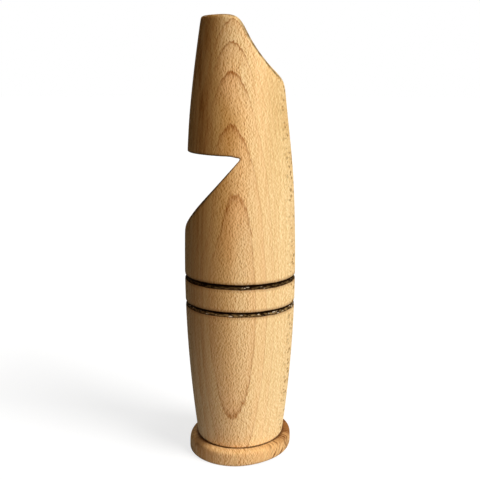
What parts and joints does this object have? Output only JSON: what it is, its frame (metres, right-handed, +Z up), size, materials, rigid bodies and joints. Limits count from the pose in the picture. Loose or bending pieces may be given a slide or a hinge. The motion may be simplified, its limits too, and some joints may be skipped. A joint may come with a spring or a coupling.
{
  "type": "wooden whistle",
  "caption": "Turned wooden fipple whistle with a barrel body, a sawn window, a hollowed beak, burnt lines round the belly and a flanged foot to stand on.",
  "frame": {"origin": "centre of the foot's underside", "axes": "+Z up the barrel's axis towards the mouth end; the window faces -X and the beak's hollow faces +X"},
  "size_m": [0.025, 0.025, 0.0985],
  "materials": {
    "beech_body": "sanded and lightly oiled, satin, with two burnt lines",
    "beech_plug": "bare sanded dowel, matte",
    "beech_foot": "sanded and lightly oiled, satin"
  },
  "bodies": {
    "root": {"whistle_body": "beech_body", "fipple_plug": "beech_plug", "foot_cap": "beech_foot"}
  },
  "joints": []
}
